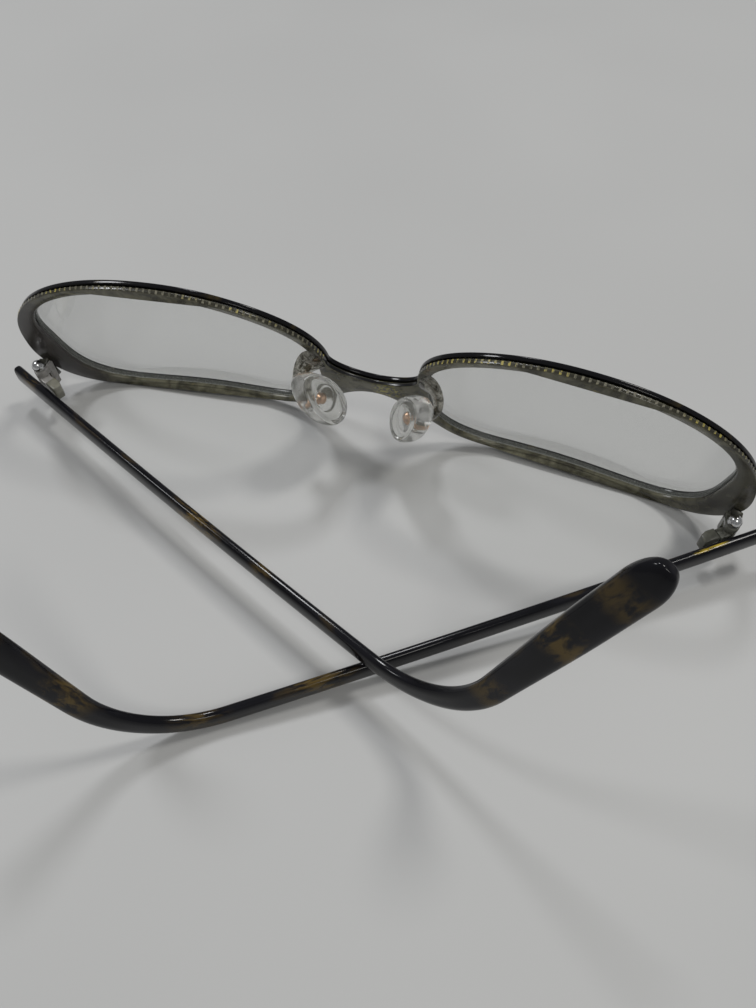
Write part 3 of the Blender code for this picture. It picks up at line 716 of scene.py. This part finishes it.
def milled_ticks(tree, finish):
    """The row of marks along the outer wall of the olive layer on each lower rim."""
    middle = -(LAYER_DEPTH + GLUE_GAP) / 2 + TICK_SINK
    steps = 140
    paths = bmesh.new()
    lane = paths.verts.layers.float_vector.new("outward")
    for side in SIDES:
        row = []
        for i in range(steps + 1):
            angle = TICK_FIRST + TICK_ARC * i / steps
            u, v = lens_edge(angle, rim_width(angle) - TICK_SINK)
            u2, v2 = lens_edge(angle, rim_width(angle) + 1.0 * MM)
            here = FRONT @ front_point(side * u, v, middle)
            there = FRONT @ front_point(side * u2, v2, middle)
            vertex = paths.verts.new(here)
            vertex[lane] = (there - here).normalized()
            row.append(vertex)
        for a, b in zip(row, row[1:]):
            paths.edges.new((a, b))
    mesh = bpy.data.meshes.new("tick_path")
    paths.to_mesh(mesh)
    paths.free()
    guide = bpy.data.objects.new("tick_path", mesh)
    bpy.context.scene.collection.objects.link(guide)
    modifier = guide.modifiers.new("ticks", "NODES")
    modifier.node_group = tree
    for item in tree.interface.items_tree:
        if item.in_out == "INPUT" and item.socket_type == "NodeSocketFloat":
            modifier[item.identifier] = item.default_value
    bpy.context.view_layer.update()
    graph = bpy.context.evaluated_depsgraph_get()
    ticks = bpy.data.meshes.new_from_object(guide.evaluated_get(graph))
    guide.modifiers.clear()
    bpy.data.objects.remove(guide, do_unlink=True)
    return piece("milled_ticks", ticks, finish, "front", sharp=30.0)


# ---------------------------------------------------------------- nose pads
def pad_matrix(side):
    u, n, v = PAD_CENTRE
    along = Vector((side * math.sin(PAD_FRONTAL), 0.0, math.cos(PAD_FRONTAL)))
    facing = Vector((-side * math.cos(PAD_FRONTAL), 0.0, math.sin(PAD_FRONTAL)))
    facing.rotate(Matrix.Rotation(side * PAD_TURN[side], 3, along))
    turn = Matrix((along.cross(facing), along, facing)).transposed()
    return Matrix.Translation(front_point(side * u, v, n)) @ turn.to_4x4()


def pad_outline(scale_length, scale_width, count=64):
    points = []
    for x, y in circle(1.0, count):
        fuller = 1.0 - PAD_FULLNESS * y
        points.append((x * fuller * PAD_HALF_WIDTH * scale_width, y * PAD_HALF_LENGTH * scale_length))
    return points


def nose_pad(side, finish):
    """A soft pad with a rolled rim, a flat face and a raised disc over its socket."""
    frame = FRONT @ pad_matrix(side)
    back, face, disc = PAD_BACK, PAD_FACE, PAD_DISC

    def ring(points, z):
        return [frame @ Vector((x, y, z)) for x, y in points]

    def mixed(share, size):
        """Between the pad's outline and a circle of that radius."""
        return [(a[0] * share + b[0] * (1 - share), a[1] * share + b[1] * (1 - share))
                for a, b in zip(pad_outline(0.86, 0.80), circle(size, 64))]

    rings = [ring(circle(0.05 * MM, 64), back + 1.0 * MM),
             ring(circle(1.0 * MM, 64), back + 0.95 * MM),
             ring(circle(1.1 * MM, 64), back + 0.06 * MM),
             ring(circle(1.25 * MM, 64), back),
             ring(pad_outline(0.62, 0.56), back + 0.02 * MM),
             ring(pad_outline(0.82, 0.77), back + 0.03 * MM)]
    rim_turns = 12
    for i in range(rim_turns + 1):
        angle = -math.pi / 2 + math.pi * i / rim_turns
        grow = 0.88 + 0.12 * math.cos(angle)
        z = 0.5 * (back + face) + 0.5 * (face - back) * math.sin(angle)
        rings.append(ring(pad_outline(grow, grow - 0.02), z))
    rings += [ring(pad_outline(0.83, 0.77), face - 0.02 * MM),
              ring(pad_outline(0.80, 0.74), face - 0.14 * MM),
              ring(pad_outline(0.76, 0.70), face - 0.16 * MM),
              ring(mixed(0.35, disc), face - 0.17 * MM),
              ring(circle(disc + 0.08 * MM, 64), face - 0.17 * MM),
              ring(circle(disc, 64), face - 0.08 * MM),
              ring(circle(disc - 0.25 * MM, 64), face - 0.03 * MM),
              ring(circle(disc * 0.5, 64), face - 0.03 * MM),
              ring(circle(0.05 * MM, 64), face - 0.03 * MM)]
    return piece("nose_pad_" + SIDES[side] + "_soft", fan_ends(loft(rings)), finish, SIDES[side] + "_pad",
                 ["nose_pad_" + SIDES[side]], sharp=60.0)


def pad_stud(side, finish):
    neck_end = -math.sqrt(BALL_RADIUS ** 2 - STUD_NECK ** 2)
    start = math.asin(neck_end / BALL_RADIUS)
    ball = [start + (math.pi / 2 - start) * i / 20 for i in range(21)]
    profile = [(0.0, BALL_RADIUS)]
    profile += [(BALL_RADIUS * math.cos(a), BALL_RADIUS * math.sin(a)) for a in reversed(ball[:-1])]
    foot = -BOSS_STANDOFF + 0.1 * MM
    profile += [(STUD_NECK, foot), (0.0, foot)]
    mesh = turned_mesh(profile, 36, FRONT @ pad_matrix(side))
    return piece("pad_stud_" + SIDES[side] + "_metal", mesh, finish, "front",
                 ["pad_stud_" + SIDES[side]])


def pad_boss(side, finish):
    frame = pad_matrix(side)
    facing = frame.to_3x3() @ Vector((0.0, 0.0, 1.0))
    u, v = BOSS_ROOT
    foot = front_point(side * u, v, BEHIND_OLIVE)
    end = frame @ Vector((0.0, 0.0, -BOSS_STANDOFF))
    out, back, behind_stud = BOSS_SWING
    path = cubic(foot, foot + Vector((side * out, -back, 0.0)), end - facing * behind_stud, end, 26)
    long_way = Vector((side * math.cos(BOSS_LEAN), 0.0, math.sin(BOSS_LEAN)))
    end_long = (long_way - facing * long_way.dot(facing)).normalized()
    headings = [Vector(b) - Vector(a) for a, b in zip(path, path[1:])] + [facing]
    rings = []
    for i, middle in enumerate(path):
        share = i / (len(path) - 1)
        slim = smooth_step(share, 0.0, 0.6)
        close = 1.0 - 0.25 * smooth_step(share, 0.9, 1.0) ** 2
        long_half = (BOSS_HALF[0] + (BOSS_END_HALF[0] - BOSS_HALF[0]) * slim) * close
        short_half = (BOSS_HALF[1] + (BOSS_END_HALF[1] - BOSS_HALF[1]) * slim) * close
        ahead = Vector((0.0, -1.0, 0.0)).lerp(headings[i].normalized(), smooth_step(share, 0.0, BOSS_TURN))
        ahead.normalize()
        along = long_way.lerp(end_long, slim)
        along = (along - ahead * along.dot(ahead)).normalized()
        across = ahead.cross(along)
        rings.append([FRONT @ (Vector(middle) + along * (long_half * x) + across * (short_half * y))
                      for x, y in circle(1.0, 40)])
    return piece("pad_boss_" + SIDES[side] + "_clear", fan_ends(loft(rings)), finish, "front",
                 ["pad_boss_" + SIDES[side]], sharp=50.0)


# ---------------------------------------------------------------- hinges
def hinge_matrix(side):
    fold = Matrix.Rotation(-side * FOLD[side], 4, "Z")
    rise = Matrix.Rotation(-RISE[side], 4, "X")
    u, y, z = PIN
    return Matrix.Translation(Vector((side * u, y, z)) - ORIGIN) @ fold @ rise @ fold.inverted()


def temple_matrix(side):
    return hinge_matrix(side) @ Matrix.Rotation(-side * FOLD[side], 4, "Z")


def oriented(points, clockwise):
    area = sum(a[0] * b[1] - b[0] * a[1] for a, b in zip(points, points[1:] + points[:1]))
    return list(reversed(points)) if (area < 0) != clockwise else points


def leaf_outline(radius, x_near, x_far, reach):
    towards = math.copysign(1.0, reach)

    def rim_angle(x):
        return math.atan2(towards * math.sqrt(radius ** 2 - x * x), x)

    leave = rim_angle(x_far)
    turn = (rim_angle(x_near) - leave) % math.tau
    if towards * x_far > 0:
        turn -= math.tau
    steps = 48
    barrel = [(radius * math.cos(leave + turn * i / steps), radius * math.sin(leave + turn * i / steps))
              for i in range(steps + 1)]
    return barrel + [(x_near, reach), (x_far, reach)]


def eye(radius, x_near, x_far, reach, low, high, frame):
    """One knuckle with its tail between two heights, with rounded edges."""
    outline = oriented(leaf_outline(radius, x_near, x_far, reach), clockwise=False)
    bore = oriented(circle(BORE_RADIUS, 40), clockwise=True)
    mesh = sheet_mesh([outline, bore], high - low, 0.12 * MM, 2)
    mesh.transform(frame @ Matrix.Translation((0.0, 0.0, (low + high) / 2)))
    return mesh


def joined(meshes):
    shape = bmesh.new()
    for mesh in meshes:
        shape.from_mesh(mesh)
    whole = bpy.data.meshes.new("joined")
    shape.to_mesh(whole)
    shape.free()
    return whole


def front_knuckle(side, finish):
    frame = hinge_matrix(side)
    gap = MIDDLE_HALF + AXIAL_GAP
    near, far = FRONT_TAIL
    sizes = (KNUCKLE_RADIUS, side * near, side * far, FRONT_REACH)
    corners = [(far, WEB_START), (near, WEB_START), (near, FRONT_REACH), (far, FRONT_REACH)]
    web = box_mesh(corners, -STACK_HALF, STACK_HALF, side, frame)
    mesh = joined([eye(*sizes, gap, STACK_HALF, frame), eye(*sizes, -STACK_HALF, -gap, frame), web])
    return piece("front_knuckle_" + SIDES[side] + "_moulded", mesh, finish, "front",
                 ["front_knuckle_" + SIDES[side]])


def temple_knuckle(side, finish):
    near, far = TEMPLE_TAIL
    mesh = eye(MIDDLE_RADIUS, side * near, side * far, TEMPLE_REACH, -MIDDLE_HALF, MIDDLE_HALF,
               temple_matrix(side))
    return piece("temple_knuckle_" + SIDES[side] + "_moulded", mesh, finish, SIDES[side] + "_temple",
                 ["temple_knuckle_" + SIDES[side]])


def box_mesh(corners, low, high, side, frame):
    """A prism from (x, y) corners, x outwards from the pin."""
    rings = [[frame @ Vector((side * x, y, z)) for x, y in corners] for z in (low, high)]
    return loft(rings)


def hinge_screw(side, finish):
    rest = STACK_HALF + 0.05 * MM
    middle = rest + BEAD_LIFT
    profile = []
    for i in range(25):
        angle = BEAD_CLOSE * i / 24
        profile.append((BEAD_RADIUS * math.sin(angle), middle + BEAD_RADIUS * math.cos(angle)))
    profile[0] = (0.0, middle + BEAD_RADIUS)
    end = -STACK_HALF - PIN_PROUD
    profile += [(BEAD_RADIUS * 0.75, rest), (PIN_RADIUS, rest), (PIN_RADIUS, end + 0.1 * MM),
                (PIN_RADIUS - 0.1 * MM, end), (0.0, end)]
    mesh = turned_mesh(profile, 48, hinge_matrix(side))
    return piece("hinge_bead_" + SIDES[side], mesh, finish, "front",
                 ["hinge_screw_" + SIDES[side]])


def hinge_stem(side, finish):
    to_front = FRONT.inverted() @ hinge_matrix(side)
    inner, outer = STEM_SIDES
    y, low, high = STEM_END
    back = [FRONT @ to_front @ Vector((side * x, y, z))
            for x, z in ((inner, low), (outer, low), (outer, high), (inner, high))]
    y, low, high = STEM_ROOT
    root = []
    for x, z in ((inner, low), (outer, low), (outer, high), (inner, high)):
        spot = to_front @ Vector((side * x, y, z))
        root.append(FRONT @ front_point(spot.x, spot.z, BEHIND_OLIVE))
    mesh = rounded(loft([root, back]), 0.22 * MM)
    return piece("hinge_stem_" + SIDES[side] + "_olive", mesh, finish, "front",
                 ["hinge_stem_" + SIDES[side]], sharp=50.0)


def hinge_block(side, finish):
    frame = temple_matrix(side)
    inner, outer = BLOCK_SIDES
    near, far = BLOCK_ENDS
    low, high = -BLOCK_HALF, BLOCK_HALF
    taper_length, taper_depth = BLOCK_TAPER
    rings = []
    for y, slim in ((near, 0.0), (far + taper_length, 0.0), (far, taper_depth)):
        corners = ((inner + slim, low), (outer, low), (outer, high), (inner + slim, high))
        rings.append([frame @ Vector((side * x, y, z)) for x, z in corners])
    mesh = rounded(loft(rings), 0.2 * MM)
    return piece("hinge_block_" + SIDES[side] + "_olive", mesh, finish, SIDES[side] + "_temple",
                 ["hinge_block_" + SIDES[side]], sharp=50.0)


# ---------------------------------------------------------------- temples
def temple_frames(side, places):
    """Centreline places of the temple with the outward and upward directions, at these distances."""
    bend = DROP_ANGLE * DROP_RADIUS
    step = 1.0 * MM
    spot = Vector((side * TEMPLE_OFFSET, FRONT_OVERLAP, 0.0))
    frames = []
    here = -FRONT_OVERLAP
    while here <= TEMPLE_END + step and len(frames) < len(places):
        ratio = min(max((here - STRAIGHT) / bend, 0.0), 1.0)
        lift = DROP_ANGLE * ratio
        swing = TIP_TOE_IN * ratio + BOW * min(max(here / STRAIGHT - 0.5, -0.5), 0.5)
        ahead = Vector((-side * math.sin(swing), -math.cos(swing) * math.cos(lift),
                        math.cos(swing) * math.sin(lift)))
        outward = Vector((side * math.cos(swing), -math.sin(swing) * math.cos(lift),
                          math.sin(swing) * math.sin(lift)))
        upward = outward.cross(ahead) * -side
        while len(frames) < len(places) and places[len(frames)] < here + step:
            frames.append((spot + ahead * (places[len(frames)] - here), outward, upward))
        spot = spot + ahead * step
        here += step
    return frames


def temple_section(along):
    widen = smooth_step(along, TEMPLE_END - PADDLE_GROWTH[0], TEMPLE_END - PADDLE_GROWTH[1])
    thick = TEMPLE_THICKNESS + (PADDLE_THICKNESS - TEMPLE_THICKNESS) * widen
    high = TEMPLE_HEIGHT + (PADDLE_HEIGHT - TEMPLE_HEIGHT) * widen
    left = max(TEMPLE_END - along, 0.0)
    if left < TIP_RADIUS:
        arc = math.sqrt(max(1 - (1 - left / TIP_RADIUS) ** 2, 0.0))
        high *= arc * 0.8 + 0.2
        thick *= arc * 0.5 + 0.5
    start = along + FRONT_OVERLAP
    if start < TEMPLE_EASE:
        ease = 0.88 + 0.12 * math.sqrt(max(1 - (1 - start / TEMPLE_EASE) ** 2, 0.0))
        high *= ease
        thick *= ease
    return thick / 2, high / 2


def temple(side, finish):
    """A polished temple, with its distance from the hinge kept for the grain of the finish."""
    front_steps, steps, tip_steps = 8, 150, 14
    eased = TEMPLE_EASE - FRONT_OVERLAP
    tip = TEMPLE_END - TIP_RADIUS
    body = [-FRONT_OVERLAP + TEMPLE_EASE * i / front_steps for i in range(front_steps + 1)]
    body += [eased + (tip - eased) * i / steps for i in range(1, steps + 1)]
    body += [TEMPLE_END - TIP_RADIUS * (1 - math.sin(math.pi / 2 * i / tip_steps))
             for i in range(1, tip_steps + 1)]
    frame = temple_matrix(side)
    count = 32
    rows = []
    for (spot, outward, upward), along in zip(temple_frames(side, body), body):
        half_thick, half_high = temple_section(along)
        row = []
        for x, y in circle(1.0, count, math.pi / count):
            reach = (abs(x) ** TEMPLE_SQUARENESS + abs(y) ** TEMPLE_SQUARENESS) ** (-1 / TEMPLE_SQUARENESS)
            out = outward * (x * reach * half_thick)
            up = upward * (y * reach * half_high)
            row.append(frame @ (spot + out + up))
        rows.append(row)
    lanes = [along / MM for along in body]
    mesh = loft(rows, lanes=lanes)
    return piece("temple_" + SIDES[side] + "_polished", mesh, finish, SIDES[side] + "_temple",
                 ["temple_" + SIDES[side]], sharp=60.0)


# ---------------------------------------------------------------- the set
def table_top(finish):
    mesh = bpy.data.meshes.new("table")
    half = TABLE_HALF
    mesh.from_pydata([(-half, -half, 0.0), (half, -half, 0.0), (half, half, 0.0), (-half, half, 0.0)], [],
                     [(0, 1, 2, 3)])
    mesh.materials.append(finish)
    table = bpy.data.objects.new("table", mesh)
    bpy.context.scene.collection.objects.link(table)
    table.location.z = -TABLE_DROP


def soft_light(name, place, size, power, colour=(1.0, 1.0, 1.0)):
    data = bpy.data.lights.new(name, "AREA")
    data.shape = "DISK"
    data.size = size
    data.energy = power
    data.color = colour
    lamp = bpy.data.objects.new(name, data)
    bpy.context.scene.collection.objects.link(lamp)
    lamp.location = place
    lamp.rotation_euler = (-Vector(place)).to_track_quat("-Z", "Y").to_euler()


def studio():
    world = bpy.data.worlds.new("room")
    bpy.context.scene.world = world
    world.use_nodes = True
    world.node_tree.nodes["Background"].inputs["Color"].default_value = (0.93, 0.94, 0.95, 1.0)
    world.node_tree.nodes["Background"].inputs["Strength"].default_value = 0.24
    soft_light("over_right", (0.34, 0.42, 0.95), 0.20, 2.6, (1.0, 0.985, 0.95))
    soft_light("over_back", (-0.30, 0.55, 1.00), 0.18, 2.4, (0.97, 0.98, 1.0))
    soft_light("over_left", (-0.75, 0.10, 0.90), 0.22, 2.1, (0.97, 0.98, 1.0))
    soft_light("over_near", (0.35, -0.45, 1.00), 0.30, 1.8, (1.0, 0.985, 0.94))


def camera():
    yaw, pitch = CAMERA_YAW, CAMERA_PITCH
    ahead = Vector((math.sin(yaw) * math.cos(pitch), math.cos(yaw) * math.cos(pitch), -math.sin(pitch)))
    right = Vector((math.cos(yaw), -math.sin(yaw), 0.0))
    turn = Matrix((right, right.cross(ahead), -ahead)).transposed().to_4x4()
    turn.translation = CAMERA_PLACE - ORIGIN
    data = bpy.data.cameras.new("camera")
    data.sensor_fit = "VERTICAL"
    data.sensor_height = 36.0
    data.lens = CAMERA_LENS
    data.clip_start = 0.001
    eye_point = bpy.data.objects.new("camera", data)
    bpy.context.scene.collection.objects.link(eye_point)
    eye_point.matrix_world = turn
    bpy.context.scene.camera = eye_point


# ---------------------------------------------------------------- assembly
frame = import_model()

tortoise = tortoise_sheet()
olive = olive_sheet("olive_sheet", (0.075, 0.070, 0.046), (0.225, 0.215, 0.145), 0.30,
                    (0.085, 0.078, 0.082))
olive_dark = olive_sheet("olive_moulded", (0.030, 0.030, 0.022), (0.085, 0.082, 0.062), 0.15)
# The hinge block on the left is a pale copy of the right one's olive: its paleness is painted light.
olive_painted_light = olive_sheet("olive_block", (0.28, 0.275, 0.225), (0.42, 0.41, 0.34), 0.35)
lens_clear = lens_finish()
lens_bevel = lens_edge_finish()
gilt = gilt_finish()
silicone = silicone_finish()
boss_clear = clear_moulding("pad_arm_clear", (0.060, 0.052, 0.030), (0.84, 0.82, 0.74), 0.75, 0.75)
# The knuckles of both hinges are one moulding: the left copy's pale colour is painted light and the right
# copy's darker colour is painted shade.
eye_painted_light = clear_moulding("knuckle_painted_light", (0.62, 0.60, 0.57), (0.84, 0.82, 0.80), 0.55, 0.6)
copper = metal_finish("stud_copper", (0.84, 0.56, 0.39), 0.30)
steel = metal_finish("bead_steel", (0.74, 0.74, 0.75), 0.14)
eye_painted_shade = clear_moulding("knuckle_painted_shade", (0.16, 0.16, 0.135), (0.34, 0.34, 0.29), 0.5, 0.6)
eyes = {-1: eye_painted_light, 1: eye_painted_shade}
# The right hinge block is a darker copy of the same olive: its darkness is painted shade.
olive_painted_shade = olive_sheet("olive_block_painted_shade", (0.13, 0.13, 0.11), (0.22, 0.22, 0.18), 0.35)
blocks = {-1: olive_painted_light, 1: olive_painted_shade}
temple_finish = {-1: temple_sheet("tortoise_temple_left", [(-3, 3, 0.35), (41, 55, 0.85), (60, 66, 0.3),
                                                           (105, 113, 0.32), (121, 129, 0.48),
                                                           (132, 139, 0.30)]),
                 1: temple_sheet("tortoise_temple_right", [(64, 78, 0.5), (84, 96, 0.35), (106, 118, 0.55),
                                                           (124, 136, 0.5)], (1.6, 9.0))}

middle = (LAYER_DEPTH + GLUE_GAP) / 2
front_layer("front_tortoise", middle, tortoise)
front_layer("front_olive", -middle, olive)
milled_ticks(tick_tree(gilt), gilt)
for side in SIDES:
    lens(side, lens_clear, lens_bevel)
    pad_boss(side, boss_clear)
    pad_stud(side, copper)
    nose_pad(side, silicone)
    hinge_stem(side, olive_dark)
    front_knuckle(side, eyes[side])
    hinge_screw(side, steel)
    temple_knuckle(side, eyes[side])
    hinge_block(side, blocks[side])
    temple(side, temple_finish[side])
    wire = frame["nodes"]["core_wire_" + SIDES[side]]
    wire.data.materials.clear()
    wire.data.materials.append(steel)

table_top(table_finish())
studio()
camera()
bpy.context.scene.view_settings.view_transform = "Standard"
